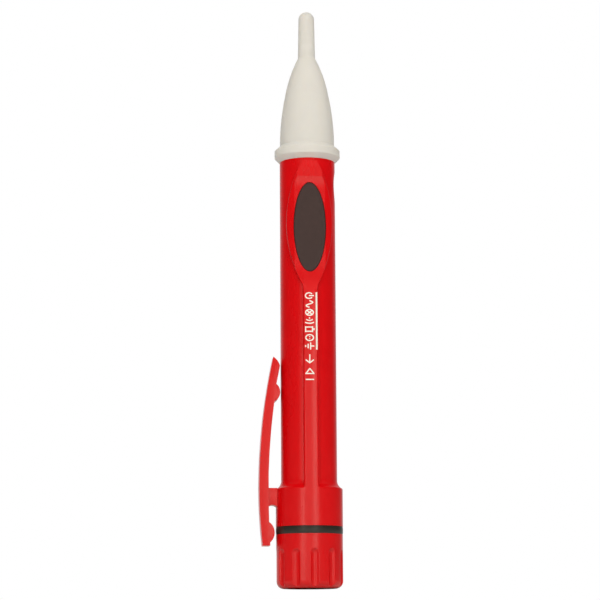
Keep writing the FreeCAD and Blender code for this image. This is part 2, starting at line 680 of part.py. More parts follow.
def make_switch():
    """The push switch behind the pad: body with its plunger well, steel cover and plunger."""
    well = S.plunger_radius + S.plunger_gap
    low = S.pad_level - S.switch_half
    high = S.pad_level + S.switch_half
    body = new_body("switch_body")
    case = new_sketch(body, "case_outline", "XZ_Plane", (0, 0, -S.board_front))
    rectangle(case, -S.switch_half, low, S.switch_half, high)
    pulled(body, "Pad", "case", case, S.board_front + S.switch_face - S.cover)
    hole = new_sketch(body, "well_outline", "XZ_Plane", (0, 0, S.plunger_well))
    circle(hole, 0, S.pad_level, well)
    pulled(body, "Pocket", "well", hole, S.switch_face, "out")
    cover = new_body("switch_cover")
    plate = new_sketch(cover, "cover_outline", "XZ_Plane", (0, 0, S.switch_face - S.cover))
    rectangle(plate, -S.switch_half, low, S.switch_half, high)
    circle(plate, 0, S.pad_level, well + S.cover_room, "hole_")
    pulled(cover, "Pad", "cover_plate", plate, S.cover)
    plunger = new_body("switch_plunger")
    post = new_sketch(plunger, "plunger_outline", "XZ_Plane", (0, 0, S.plunger_back))
    circle(post, 0, S.pad_level, S.plunger_radius)
    pulled(plunger, "Pad", "plunger_post", post, S.plunger_face - S.plunger_back)
    return [body, cover, plunger]


def make_push_pad():
    """The dark oval push pad with its retaining lip and the stem on the switch's plunger."""
    body = new_body("push_pad")
    lip = new_sketch(body, "lip_outline", "XZ_Plane", (0, 0, S.pad_back))
    upright_ellipse(lip, S.pad_level, S.pad_half_width + S.pad_lip,
                    S.pad_half_length + S.pad_lip_rise)
    pulled(body, "Pad", "lip", lip, S.pad_flange)
    face = new_sketch(body, "pad_outline", "XZ_Plane", (0, 0, S.pad_back))
    upright_ellipse(face, S.pad_level, S.pad_half_width, S.pad_half_length)
    pad = pulled(body, "Pad", "pad", face, S.pad_face - S.pad_back)
    front = -S.pad_face.value
    rim = edges_where(pad, lambda middle, away: abs(middle.y - front) < 0.01)
    rounded(body, "pad_rim", pad, rim, S.pad_round)
    stem = new_sketch(body, "stem_outline", "XZ_Plane", (0, 0, S.plunger_face))
    circle(stem, 0, S.pad_level, S.pad_stem)
    pulled(body, "Pad", "stem", stem, S.pad_back - S.plunger_face + S.pad_stem_bite)
    return body


def make_buzzer():
    """The round sounder on the board's back, with its sound port."""
    body = new_body("buzzer")
    case = new_sketch(body, "buzzer_outline", "XZ_Plane", (0, 0, -S.board_back))
    circle(case, 0, S.buzzer_level, S.buzzer_radius)
    drum = pulled(body, "Pad", "drum", case, S.buzzer_height, "back")
    far = (S.board_back + S.buzzer_height).value
    rim = edges_where(drum, lambda middle, away: abs(middle.y - far) < 0.01)
    rounded(body, "drum_edge", drum, rim, S.buzzer_edge, "Chamfer")
    port = new_sketch(body, "port_outline", "XZ_Plane",
                      (0, 0, S.buzzer_port_depth - S.board_back - S.buzzer_height))
    circle(port, 0, S.buzzer_level, S.buzzer_port)
    pulled(body, "Pocket", "port", port, S.buzzer_port_depth * 2, "back")
    return body


def make_chip():
    """The controller chip above the switch, with its eight pins."""
    back = S.board_front - S.chip_stand
    half_length = S.chip_length / 2
    case = block("controller_chip",
                 (-S.chip_width / 2, back - S.chip_height, S.chip_level - half_length),
                 (S.chip_width / 2, back, S.chip_level + half_length))
    pins = []
    for side in (-1, 1):
        for step in range(4):
            level = S.chip_level + S.chip_pin_pitch * (step - 1.5)
            inner = S.chip_width / 2 * side
            outer = inner + S.chip_pin_reach * side
            left, right = (inner, outer) if side > 0 else (outer, inner)
            low = (left, S.board_front - S.chip_pin_thickness, level - S.chip_pin_width / 2)
            high = (right, S.board_front, level + S.chip_pin_width / 2)
            pins.append(block("chip_pin_{}".format(len(pins) + 1), low, high))
    return [case, compound("chip_pins", pins)]


def small_parts(label, places, face, way):
    """Surface-mounted parts of one kind; way is -1 on the board's front and 1 on its back."""
    pieces = []
    for across, level in places:
        near, far = (face - S.small_height, face) if way < 0 else (face, face + S.small_height)
        low = (across - S.small_width / 2, near, level - S.small_length / 2)
        high = (across + S.small_width / 2, far, level + S.small_length / 2)
        pieces.append(block("{}_{}".format(label, len(pieces) + 1), low, high))
    return compound(label, pieces)


def make_transistor():
    """The small transistor beside the antenna's foot."""
    half = S.transistor_length / 2
    wide = S.transistor_width / 2
    return block("transistor",
                 (S.transistor_offset - wide, S.board_front - S.transistor_height,
                  S.transistor_level - half),
                 (S.transistor_offset + wide, S.board_front, S.transistor_level + half))


def make_clip():
    """The pocket clip: a bowed lever with its bump, lip and heel, on a short arm."""
    body = new_body("clip")
    side = new_sketch(body, "lever_outline", "XZ_Plane")
    outline(side, [
        (-S.clip_beak, S.clip_top, S.clip_upper_curve), (-S.clip_mid, S.clip_mid_level,
                                                         S.clip_upper_curve),
        (-S.clip_out, S.clip_out_level, S.clip_lower_curve), (-S.clip_tail, S.clip_bottom),
        (-S.clip_tail + S.clip_thickness, S.clip_bottom), (-S.heel_face, S.heel_low, S.heel_curve),
        (-S.clip_inner + 0.1, S.heel_high), (-S.clip_inner, S.arm_bottom),
        (-S.clip_inner, S.clip_inner_level, -S.clip_inner_curve),
        (-S.clip_neck, S.clip_neck_level, S.bump_curve),
        (-S.bump_upper, S.bump_high), (-S.lip, S.lip_level, S.lip_curve),
    ])
    pulled(body, "Pad", "lever", side, S.clip_half_width * 2, "both")
    arm = new_sketch(body, "arm_outline", "XZ_Plane")
    outline(arm, [
        (-S.arm_reach, S.arm_bottom), (-S.clip_inner, S.arm_bottom, -S.arm_arch),
        (-S.collar_radius - S.arm_gap, S.arm_bottom), (-S.barrel_radius, S.arm_bottom),
        (-S.barrel_radius, S.arm_top), (-S.arm_reach, S.arm_top),
    ])
    pulled(body, "Pad", "arm", arm, S.arm_half_width * 2, "both")
    room = new_sketch(body, "collar_room_profile", "XZ_Plane")
    rectangle(room, 0, S.arm_bottom - 3, S.collar_radius + S.arm_gap, S.arm_top + 1)
    turned(body, "Groove", "collar_room", room)
    return body


parts = [make_barrel(), make_neck_seal(), make_sensor_tip(), make_tip_ring(), make_carrier()]
parts += make_cell("rear", S.cell_bottom)
parts += make_cell("front", S.cell_bottom + S.cell_length)
parts += [make_contact_strip(), make_front_contact(), make_board(), make_antenna()]
parts += [make_lamp("red_led", -S.lamp_spread), make_lamp("white_led", S.lamp_spread)]
parts += [make_lamp_leads(), make_buzzer(), make_transistor()]
parts += make_chip()
parts += make_switch()
resistors = [(-3.4, 100.4), (-2.2, 100.4), (2.2, 100.4), (3.4, 100.4), (-3.2, 102.6), (3.2, 102.6)]
capacitors = [(-3.4, 103.0), (0.0, 104.2), (3.4, 103.0), (-2.4, 118.6), (2.4, 118.6)]
parts.append(small_parts("chip_resistors", resistors, S.board_front, -1))
parts.append(small_parts("chip_capacitors", capacitors, S.board_back, 1))
parts += [make_push_pad(), make_clip(), make_end_cap(), make_contact_disc(), make_battery_spring()]
doc.recompute()

for item in doc.Objects:
    if "Invalid" in item.State or "Error" in item.State:
        raise RuntimeError("{} failed: {}".format(item.Name, item.State))
for part in parts:
    if part.Shape.isNull() or not part.Shape.isValid():
        raise RuntimeError("{} has no valid shape".format(part.Label))

os.makedirs("parts", exist_ok=True)
for part in parts:
    part.Shape.exportStep("parts/{}.step".format(part.Label))
    print("{:20s} {:10.2f} mm3".format(part.Label, part.Shape.Volume))
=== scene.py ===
from math import cos, pi, radians, sin, sqrt

import bmesh
import bpy
from mathutils import Euler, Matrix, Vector


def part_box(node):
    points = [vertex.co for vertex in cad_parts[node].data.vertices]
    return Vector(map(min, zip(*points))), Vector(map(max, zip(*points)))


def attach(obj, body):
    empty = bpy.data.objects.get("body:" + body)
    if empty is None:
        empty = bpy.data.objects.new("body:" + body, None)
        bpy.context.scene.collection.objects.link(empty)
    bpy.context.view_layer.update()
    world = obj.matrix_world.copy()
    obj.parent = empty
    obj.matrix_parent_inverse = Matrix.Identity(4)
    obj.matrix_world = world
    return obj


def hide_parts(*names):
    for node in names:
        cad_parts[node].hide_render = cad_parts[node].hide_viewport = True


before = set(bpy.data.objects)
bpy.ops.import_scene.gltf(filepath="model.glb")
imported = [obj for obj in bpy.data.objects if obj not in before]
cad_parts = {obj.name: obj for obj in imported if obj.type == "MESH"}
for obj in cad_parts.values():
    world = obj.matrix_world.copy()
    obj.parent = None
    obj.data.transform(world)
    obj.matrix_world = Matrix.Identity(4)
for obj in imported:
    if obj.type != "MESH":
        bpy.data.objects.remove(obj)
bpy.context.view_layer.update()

bl_info = {
    "name": "Voltage Tester Looks",
    "version": (1, 0, 0),
    "blender": (4, 5, 0),
    "location": "View3D > Sidebar > Tester",
    "description": "Finishes a pen-shaped voltage tester: mouldings, printed marks and materials",
    "category": "Object",
}

MM = 0.001


def middle(node):
    """Centre of a CAD node's box."""
    low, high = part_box(node)
    return (low + high) / 2


def extent(node):
    """Size of a CAD node's box."""
    low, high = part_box(node)
    return high - low


# ---------------------------------------------------------------- what a user would change


class TesterColours(bpy.types.PropertyGroup):
    """Colours of the tester's mouldings and trim."""

    def colour(title, text, value):
        return bpy.props.FloatVectorProperty(
            name=title, description=text, default=value, subtype="COLOR", size=3, min=0, max=1
        )

    housing: colour("Housing", "Barrel and end cap", (0.67, 0.0012, 0.0035))
    clip: colour("Clip", "Pocket clip", (0.68, 0.003, 0.004))
    tip: colour("Tip", "Translucent sensing tip", (0.70, 0.686, 0.680))
    pad: colour("Pad", "Push pad", (0.0495, 0.0292, 0.0283))
    seal: colour("Seal", "Seal rings", (0.024, 0.021, 0.018))
    ink: colour("Ink", "Printed marks", (0.90, 0.88, 0.84))
    board: colour("Board", "Solder mask", (0.012, 0.10, 0.035))


class TesterSizes(bpy.types.PropertyGroup):
    """Sizes of the details that are modelled here."""

    def length(title, text, value):
        return bpy.props.FloatProperty(
            name=title, description=text, default=value, unit="LENGTH", min=0, precision=5
        )

    clip_round: length("Clip rounding", "Radius of the clip's long edges", 0.45 * MM)
    pad_rim: length("Pad rim", "Radius of the pad's rim", 0.36 * MM)
    pad_crown: length("Pad crown", "How far the pad's middle stands above its rim", 0.14 * MM)
    pad_lip: length("Pad lip", "Width of the pad's hidden lip at its sides", 0.85 * MM)
    pad_lip_end: length("Pad lip end", "Width of the lip at the pad's ends", 0.20 * MM)
    pad_lip_thick: length("Pad lip thickness", "Thickness of the lip", 0.6 * MM)
    pad_stem_long: length("Pad stem length", "Length of the stem behind the lip", 1.95 * MM)
    pad_stem: length("Pad stem", "Radius of the stem behind the pad", 1.5 * MM)
    mark_wide: length("Mark width", "Width of a mark along the pen", 2.1 * MM)
    mark_high: length("Mark height", "Height of a mark across the land", 2.7 * MM)
    mark_pitch: length("Mark pitch", "Distance from mark to mark", 2.52 * MM)
    mark_top: length("First mark", "Where the first mark begins on the pen", 87.2 * MM)
    mark_foot: length("Mark foot", "How far left of the middle the marks stand", 1.7 * MM)
    mark_line: length("Line width", "Thickness of the marks' lines", 0.36 * MM)
    rule_line: length("Rule width", "Thickness of the rule beside the marks", 0.5 * MM)
    ink_film: length("Ink film", "How far the ink stands up", 0.025 * MM)


class TesterStage(bpy.types.PropertyGroup):
    """Camera and light."""

    azimuth: bpy.props.FloatProperty(
        name="Azimuth", description="Camera angle round the pen", default=radians(-4.5),
        subtype="ANGLE")
    elevation: bpy.props.FloatProperty(
        name="Elevation", description="Camera angle above the horizon", default=radians(-9.0),
        subtype="ANGLE")
    roll: bpy.props.FloatProperty(
        name="Roll", description="Camera turn about its own line of sight",
        default=radians(-0.36), subtype="ANGLE")
    distance: bpy.props.FloatProperty(
        name="Distance", description="Camera distance from the pen", default=0.670,
        unit="LENGTH")
    target: bpy.props.FloatProperty(
        name="Target height", description="Height on the pen's axis that the camera looks at",
        default=0.0864, unit="LENGTH")
    lens: bpy.props.FloatProperty(
        name="Lens", description="Focal length in millimetres", default=133.3)
    shift: bpy.props.FloatProperty(
        name="Shift", description="Sideways camera shift", default=-0.0133)
    surround: bpy.props.FloatProperty(
        name="Surround", description="Brightness of the surround", default=0.13)
    gloss: bpy.props.FloatProperty(
        name="Gloss", description="Brightness behind the pen in reflections", default=1.0)


# ---------------------------------------------------------------- shader maths


class Wire:
    """A shader value that Python's operators extend with Math nodes."""

    def __init__(self, recipe, socket):
        self.recipe = recipe
        self.socket = socket

    def __add__(self, other):
        return self.recipe.maths("ADD", self, other)

    def __radd__(self, other):
        return self.recipe.maths("ADD", other, self)

    def __sub__(self, other):
        return self.recipe.maths("SUBTRACT", self, other)

    def __rsub__(self, other):
        return self.recipe.maths("SUBTRACT", other, self)

    def __mul__(self, other):
        return self.recipe.maths("MULTIPLY", self, other)

    def __rmul__(self, other):
        return self.recipe.maths("MULTIPLY", other, self)

    def __truediv__(self, other):
        return self.recipe.maths("DIVIDE", self, other)

    def __gt__(self, other):
        return self.recipe.maths("GREATER_THAN", self, other)

    def __lt__(self, other):
        return self.recipe.maths("LESS_THAN", self, other)

    def __abs__(self):
        return self.recipe.maths("ABSOLUTE", self)


class Recipe:
    """One procedural material while its nodes are being laid."""

    def __init__(self, name, tree=None):
        if tree is None:
            self.material = bpy.data.materials.new(name)
            self.material.use_nodes = True
            tree = self.material.node_tree
        self.tree = tree
        self.tree.nodes.clear()

    def node(self, kind, settings=None, values=None, out=0):
        """Lay a node: its settings, then its sockets' values or links; returns one output."""
        made = self.tree.nodes.new("ShaderNode" + kind)
        for key, value in (settings or {}).items():
            if key == "stops":
                self.set_stops(made.color_ramp, value)
            else:
                setattr(made, key, value)
        for key, value in (values or {}).items():
            self.feed(self.socket_named(made.inputs, key), value)
        return Wire(self, self.socket_named(made.outputs, out))

    def socket_named(self, sockets, key):
        """A socket by position, identifier or name."""
        if isinstance(key, int):
            return sockets[key]
        for socket in sockets:
            if socket.identifier == key:
                return socket
        return sockets[key]

    def feed(self, socket, value):
        """Link a wire to a socket, or set the socket's own value."""
        if isinstance(value, Wire):
            self.tree.links.new(value.socket, socket)
        elif socket.type == "RGBA" and len(value) == 3:
            socket.default_value = (*value, 1)
        else:
            socket.default_value = value

    def set_stops(self, ramp, stops):
        """Place a colour ramp's stops, each (position, grey level)."""
        while len(ramp.elements) < len(stops):
            ramp.elements.new(1)
        for element, (place, level) in zip(ramp.elements, stops):
            element.position = place
            element.color = (level, level, level, 1)

    def maths(self, operation, first, second=0):
        return self.node("Math", {"operation": operation}, {0: first, 1: second})

    def place(self):
        """Object coordinates, in metres."""
        return self.node("TexCoord", out="Object")

    def axis(self, letter):
        """One object coordinate."""
        return self.node("SeparateXYZ", None, {"Vector": self.place()}, letter)

    def stretched(self, scale):
        """Object coordinates scaled unevenly, for a pattern that runs one way."""
        return self.node("Mapping", None, {"Vector": self.place(), "Scale": scale})

    def noise(self, scale, detail=2, vector=None):
        values = {"Vector": vector or self.place(), "Scale": scale, "Detail": detail}
        return self.node("TexNoise", None, values)

    def ramp(self, value, stops):
        return self.node("ValToRGB", {"stops": stops}, {"Fac": value})

    def mix(self, mask, off, on):
        """off where the mask is 0, on where it is 1."""
        values = {"Factor_Float": mask, "A_Color": off, "B_Color": on}
        return self.node("Mix", {"data_type": "RGBA"}, values, "Result_Color")

    def bump(self, height, depth, strength=1.0, under=None):
        """A Bump node: depth is the relief, in metres, that a height of 1 stands for."""
        values = {"Height": height, "Distance": depth, "Strength": strength}
        if under:
            values["Normal"] = under
        return self.node("Bump", None, values)

    def surface(self, **sockets):
        """The Principled shader and the output; socket names use _ for a space."""
        values = {key.replace("_", " "): value for key, value in sockets.items()}
        shader = self.node("BsdfPrincipled", None, values)
        output = self.tree.nodes.new("ShaderNodeOutputMaterial")
        self.tree.links.new(shader.socket, output.inputs["Surface"])
        return self.material


def shade_of(colour, factor):
    """A colour made lighter or darker."""
    return tuple(min(1.0, part * factor) for part in colour)


def moulded_plastic(name, colour, roughness, grain=0.003 * MM, coat=0.06):
    """Satin injection-moulded plastic: slight clouding, fine spark grain, faint handling marks."""
    mat = Recipe(name)
    cloud = mat.noise(160, 3)
    base = mat.mix(cloud, shade_of(colour, 0.93), shade_of(colour, 1.06))
    flow = mat.noise(90, 2, mat.stretched((1, 1, 0.12)))
    rubbed = mat.ramp(mat.noise(420, 4, mat.stretched((1, 1, 0.3))), [(0.52, 0), (0.78, 1)])
    rough = roughness - 0.03 + 0.06 * flow + 0.05 * rubbed
    fine = mat.noise(5200, 3)
    relief = mat.bump(fine, grain, 0.6)
    return mat.surface(Base_Color=base, Roughness=rough, Normal=relief, Coat_Weight=coat,
                       Coat_Roughness=0.22, IOR=1.46)


def tip_plastic(name, colour):
    """Milky translucent plastic of the sensing tip."""
    mat = Recipe(name)
    milk = mat.noise(240, 3)
    base = mat.mix(milk, shade_of(colour, 0.97), shade_of(colour, 1.03))
    flow = mat.noise(110, 2, mat.stretched((1, 1, 0.15)))
    relief = mat.bump(mat.noise(4800, 3), 0.003 * MM, 0.5)
    return mat.surface(Base_Color=base, Roughness=0.40 + 0.08 * flow, Normal=relief,
                       Subsurface_Weight=0.35, Subsurface_Radius=(1.0, 0.85, 0.65),
                       Subsurface_Scale=0.0016, IOR=1.46)


def soft_rubber(name, colour, roughness, grain):
    """Matt elastomer with a fine stipple and a little dust bloom."""
    mat = Recipe(name)
    bloom = mat.ramp(mat.noise(700, 4), [(0.45, 0), (0.8, 1)])
    base = mat.mix(bloom, colour, shade_of(colour, 1.16))
    stipple = mat.node("TexVoronoi", None, {"Vector": mat.place(), "Scale": 5200}, "Distance")
    relief = mat.bump(stipple + 0.5 * mat.noise(9000, 2), grain, 0.7)
    return mat.surface(Base_Color=base, Roughness=roughness + 0.06 * bloom, Normal=relief,
                       IOR=1.45)


def printed_ink(name, colour):
    """Pad-printed white ink, a touch thinner in places."""
    mat = Recipe(name)
    worn = mat.ramp(mat.noise(2600, 4), [(0.30, 0.0), (0.42, 1)])
    base = mat.mix(worn, shade_of(colour, 0.90), colour)
    relief = mat.bump(mat.noise(9000, 2), 0.003 * MM, 0.5)
    return mat.surface(Base_Color=base, Roughness=0.48 - 0.06 * worn, Normal=relief)


def drawn_metal(name, colour, roughness, run=(1, 1, 0.05)):
    """Plated metal with fine draw lines along one direction and slight tarnish."""
    mat = Recipe(name)
    lines = mat.noise(9000, 3, mat.stretched(run))
    tarnish = mat.ramp(mat.noise(500, 4), [(0.48, 0), (0.8, 1)])
    base = mat.mix(tarnish, colour, shade_of(colour, 0.80))
    rough = roughness + 0.10 * lines + 0.10 * tarnish
    relief = mat.bump(lines, 0.002 * MM, 0.5)
    return mat.surface(Base_Color=base, Metallic=1.0, Roughness=rough, Normal=relief)


def cell_wrap(name, bottom, top):
    """A cell's printed film: dark body, copper band at the positive end, thin white rings."""
    mat = Recipe(name)
    height = (mat.axis("Z") - bottom) / (top - bottom)
    band = height > 0.72
    ring = abs(height - 0.70) < 0.008
    foot = abs(height - 0.05) < 0.010
    speck = mat.noise(3000, 3)
    dark = mat.mix(speck, (0.012, 0.013, 0.018), (0.022, 0.023, 0.030))
    copper = mat.mix(speck, (0.45, 0.20, 0.07), (0.55, 0.27, 0.10))
    base = mat.mix(band, dark, copper)
    base = mat.mix(ring + foot, base, (0.75, 0.75, 0.72))
    relief = mat.bump(mat.noise(700, 3, mat.stretched((1, 1, 0.2))), 0.01 * MM, 0.4)
    return mat.surface(Base_Color=base, Metallic=0.35 * band, Roughness=0.30 + 0.08 * speck,
                       Normal=relief, Coat_Weight=0.3)


def solder_mask(name, colour):
    """Circuit board: glossy mask over copper tracks, with a faint weave in the mask."""
    mat = Recipe(name)
    values = {"Vector": mat.place(), "Scale": 620}
    settings = {"feature": "DISTANCE_TO_EDGE"}
    cells = mat.node("TexVoronoi", settings, values, "Distance")
    track = mat.ramp(cells, [(0.05, 1), (0.09, 0)])
    weave = mat.noise(2400, 2)
    mask = mat.mix(weave, shade_of(colour, 0.8), shade_of(colour, 1.15))
    base = mat.mix(track, mask, shade_of(colour, 2.2))
    relief = mat.bump(track + 0.15 * weave, 0.02 * MM, 0.8)
    return mat.surface(Base_Color=base, Roughness=0.28 + 0.12 * weave, Normal=relief,
                       Coat_Weight=0.35)


def chip_compound(name, colour, roughness=0.55):
    """Moulding compound or fired ceramic of a small part, finely speckled."""
    mat = Recipe(name)
    speck = mat.ramp(mat.noise(9000, 4), [(0.5, 0), (0.72, 1)])
    base = mat.mix(speck, colour, shade_of(colour, 1.6))
    relief = mat.bump(mat.noise(12000, 3), 0.004 * MM, 0.6)
    return mat.surface(Base_Color=base, Roughness=roughness + 0.08 * speck, Normal=relief)


def clear_lens(name, colour, clearness):
    """Cast LED lens with faint flow marks."""
    mat = Recipe(name)
    flow = mat.noise(1500, 3)
    base = mat.mix(flow, shade_of(colour, 0.94), shade_of(colour, 1.04))
    relief = mat.bump(flow, 0.004 * MM, 0.3)
    return mat.surface(Base_Color=base, Roughness=0.10 + 0.06 * flow, Normal=relief,
                       Transmission_Weight=clearness, IOR=1.52)


# ---------------------------------------------------------------- modelling helpers


def deselect():
    """Leave edit mode and select nothing."""
    if bpy.context.object and bpy.context.object.mode != "OBJECT":
        bpy.ops.object.mode_set(mode="OBJECT")
    bpy.ops.object.select_all(action="DESELECT")


def activate(piece):
    """Make one piece the only selected one."""
    deselect()
    piece.select_set(True)
    bpy.context.view_layer.objects.active = piece


def named(name):
    """Name the object that an operator has just added, and put its place into its mesh."""
    piece = bpy.context.object
    piece.name = name
    piece.data.name = name
    bpy.ops.object.transform_apply(location=True, rotation=True, scale=True)
    return piece


def edit(piece, mode="FACE"):
    """Open a piece in edit mode with nothing selected."""
    activate(piece)
    bpy.ops.object.mode_set(mode="EDIT")
    bpy.ops.mesh.select_mode(type=mode)
    bpy.ops.mesh.select_all(action="DESELECT")


def pick(kind, test):
    """Select faces, edges or vertices of the piece in edit mode by a test."""
    mesh = bpy.context.object.data
    form = bmesh.from_edit_mesh(mesh)
    for item in getattr(form, kind):
        item.select_set(bool(test(item)))
    form.select_flush_mode()
    bmesh.update_edit_mesh(mesh)


def pull(offset):
    """Extrude the selection by an offset."""
    bpy.ops.mesh.extrude_region_move(TRANSFORM_OT_translate={"value": offset})


def resize(factors, centre):
    """Scale the selection about a point."""
    bpy.ops.transform.resize(value=factors, center_override=centre)


def done():
    """Merge doubles, turn the faces outwards and leave edit mode."""
    bpy.ops.mesh.select_all(action="SELECT")
    bpy.ops.mesh.remove_doubles(threshold=1e-7)
    bpy.ops.mesh.normals_make_consistent(inside=False)
    bpy.ops.object.mode_set(mode="OBJECT")


def modify(piece, kind, **settings):
    """Add a modifier, set it and apply it."""
    activate(piece)
    modifier = piece.modifiers.new(kind.title(), kind)
    for key, value in settings.items():
        setattr(modifier, key, value)
    bpy.ops.object.modifier_apply(modifier=modifier.name)


def smooth(piece, angle=35):
    """Smooth shading up to an angle."""
    activate(piece)
    bpy.ops.object.shade_smooth_by_angle(angle=radians(angle))


def joined(pieces, name):
    """Several meshes as one piece."""
    activate(pieces[0])
    for piece in pieces[1:]:
        piece.select_set(True)
    bpy.ops.object.join()
    pieces[0].name = name
    return pieces[0]


def copied(node, name):
    """A welded copy of a CAD node's mesh, to finish as a piece of its own."""
    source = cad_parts[node]
    piece = bpy.data.objects.new(name, source.data.copy())
    bpy.context.scene.collection.objects.link(piece)
    edit(piece, "VERT")
    bpy.ops.mesh.select_all(action="SELECT")
    bpy.ops.mesh.remove_doubles(threshold=1e-7)
    bpy.ops.object.mode_set(mode="OBJECT")
    return piece


def dress(thing, material):
    """Give an object one material."""
    thing.data.materials.clear()
    thing.data.materials.append(material)


def dress_nodes(names, material):
    """Give CAD nodes one material."""
    for name in names:
        dress(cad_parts[name], material)


def fit(piece, body, slot, material, *nodes):
    """Dress a new piece, let it ride on its body and hide the CAD nodes it replaces."""
    dress(piece, material)
    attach(piece, body)
    if nodes:
        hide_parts(*nodes)


# ---------------------------------------------------------------- the pieces


class TESTER_OT_housing(bpy.types.Operator):
    """Moulded finish of the barrel and the screw cap"""

    bl_idname = "tester.housing"
    bl_label = "Housing"

    def execute(self, context):
        colours = context.scene.tester_colours
        red = moulded_plastic("housing_red", colours.housing, 0.28)
        dress_nodes(["barrel", "end_cap"], red)
        return {"FINISHED"}


class TESTER_OT_tip(bpy.types.Operator):
    """Milky finish of the sensing tip"""

    bl_idname = "tester.tip"
    bl_label = "Sensing tip"

    def execute(self, context):
        dress_nodes(["sensor_tip"], tip_plastic("tip_milk", context.scene.tester_colours.tip))
        return {"FINISHED"}


class TESTER_OT_seals(bpy.types.Operator):
    """Rubber finish of the seal rings"""

    bl_idname = "tester.seals"
    bl_label = "Seal rings"

    def execute(self, context):
        black = soft_rubber("seal_black", context.scene.tester_colours.seal, 0.33, 0.004 * MM)
        dress_nodes(["neck_seal_ring", "tip_seal_ring"], black)
        return {"FINISHED"}


class TESTER_OT_clip(bpy.types.Operator):
    """The pocket clip with its edges rounded"""

    bl_idname = "tester.clip"
    bl_label = "Pocket clip"

    def execute(self, context):
        sizes = context.scene.tester_sizes
        clip = copied("clip", "pocket_clip")
        edit(clip, "EDGE")
        bpy.ops.mesh.select_all(action="SELECT")
        bpy.ops.mesh.dissolve_limited(angle_limit=radians(1.2))
        done()
        modify(clip, "BEVEL", width=sizes.clip_round, segments=4, limit_method="ANGLE",
               angle_limit=radians(38), miter_outer="MITER_ARC", use_clamp_overlap=True)
        smooth(clip, 30)
        red = moulded_plastic("clip_red", context.scene.tester_colours.clip, 0.30)
        fit(clip, "clip", "red_clip", red, "clip")
        return {"FINISHED"}


RIM_STEPS = 6
CROWN_STEPS = 8


class TESTER_OT_pad(bpy.types.Operator):
    """The push pad: crowned oval cover, hidden lip and stem in one moulding"""

    bl_idname = "tester.pad"
    bl_label = "Push pad"

    def execute(self, context):
        sizes = context.scene.tester_sizes
        low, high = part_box("push_pad")
        centre = middle("push_pad")
        half = extent("push_pad") / 2
        face = low.y
        back = high.y - sizes.pad_stem_long
        lip_front = back - sizes.pad_lip_thick
        bpy.ops.mesh.primitive_cylinder_add(
            vertices=128, radius=1, depth=1, location=(0, (back + lip_front) / 2, centre.z),
            rotation=(pi / 2, 0, 0), scale=(half.x, half.z, back - lip_front))
        pad = named("pad_cover")
        edit(pad)
        pick("faces", lambda item: item.normal.y < -0.9)
        pull((0, 0, 0))
        resize((1 - sizes.pad_lip / half.x, 1, 1 - sizes.pad_lip_end / half.z),
               (0, lip_front, centre.z))
        edge = face + sizes.pad_rim
        pull((0, edge - lip_front, 0))
        self.crown(sizes, half, centre)
        bpy.ops.mesh.select_all(action="DESELECT")
        pick("faces", lambda item: item.normal.y > 0.9)
        pull((0, 0, 0))
        resize((sizes.pad_stem / half.x, 1, sizes.pad_stem / half.z), (0, back, centre.z))
        pull((0, high.y - back, 0))
        done()
        smooth(pad, 40)
        rubber = soft_rubber("pad_rubber", context.scene.tester_colours.pad, 0.62, 0.010 * MM)
        fit(pad, "push_pad", "pad_rubber", rubber, "push_pad")
        return {"FINISHED"}

    def crown(self, sizes, half, centre):
        """Round the rim in steps and raise the middle in a shallow crown."""
        wide = half.x - sizes.pad_lip
        tall = half.z - sizes.pad_lip_end
        rim = sizes.pad_rim
        height = 0.0
        inward = 0.0
        for step in range(1, RIM_STEPS + 1):
            angle = step / RIM_STEPS * pi / 2
            next_in = rim * (1 - cos(angle))
            next_up = rim * sin(angle)
            self.step_in(wide, tall, inward, next_in, next_up - height, centre)
            inward, height = next_in, next_up
        for step in range(1, CROWN_STEPS + 1):
            share = step / (CROWN_STEPS + 0.5)
            next_in = rim + (wide - rim) * share
            next_up = rim + sizes.pad_crown * (1 - (1 - share) ** 2)
            self.step_in(wide, tall, inward, next_in, next_up - height, centre)
            inward, height = next_in, next_up

    def step_in(self, wide, tall, inward, next_in, rise, centre):
        """Extrude the oval face forward by a rise and narrow it to the next inset."""
        pull((0, -rise, 0))
        across = (wide - next_in) / (wide - inward)
        share = tall / wide
        up = (tall - next_in * share) / (tall - inward * share)
        resize((across, 1, up), (0, 0, centre.z))


def ring_path(across, up, radius, start=0.0, sweep=2 * pi, steps=32):
    """Points of an arc on the marks' unit cell."""
    turns = [start + sweep * step / steps for step in range(steps + 1)]
    return [(across + radius * cos(turn), up + radius * sin(turn)) for turn in turns]


def split(start, end, parts=8):
    """A straight stroke cut into short steps, so that it can follow the land's curve."""
    shares = [step / parts for step in range(parts + 1)]
    return [(start[0] + (end[0] - start[0]) * share, start[1] + (end[1] - start[1]) * share)
            for share in shares]


WAVE = [(0.02 + 0.96 * step / 32, 0.5 + 0.36 * sin(2 * pi * step / 32)) for step in range(33)]
SLANT = 0.28

